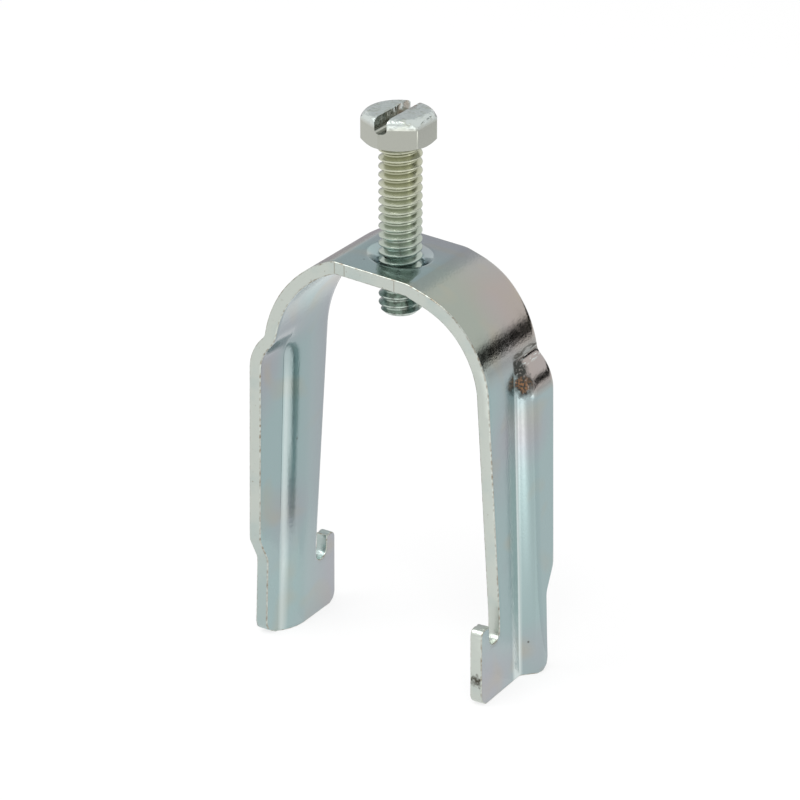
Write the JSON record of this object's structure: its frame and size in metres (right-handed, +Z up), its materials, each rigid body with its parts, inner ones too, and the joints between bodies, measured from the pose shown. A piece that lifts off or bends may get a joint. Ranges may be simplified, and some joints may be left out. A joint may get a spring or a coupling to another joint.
{
  "type": "conduit clamp",
  "caption": "Folded steel strap clamp that hooks into a slotted channel and grips a conduit with a slotted hex screw through its tapped crown.",
  "frame": {"origin": "under the middle of the strap, on the screw's axis, level with the lowest edge of the feet", "axes": "+Z up along the screw to its head, X from leg to leg, Y along the conduit"},
  "size_m": [0.0426, 0.0176, 0.0845],
  "materials": {
    "zinc_sheet": "bright zinc plate, clear chromate",
    "zinc_screw": "zinc plate, faintly yellow chromate"
  },
  "bodies": {
    "strap_body": {"strap": "zinc_sheet"},
    "screw_body": {"clamp_screw": "zinc_screw"}
  },
  "joints": [
    {"name": "screw_feed", "type": "slide", "parent": "strap_body", "child": "screw_body", "axis": [0, 0, 1], "range_m": [-0.0165, 0.0038]}
  ]
}
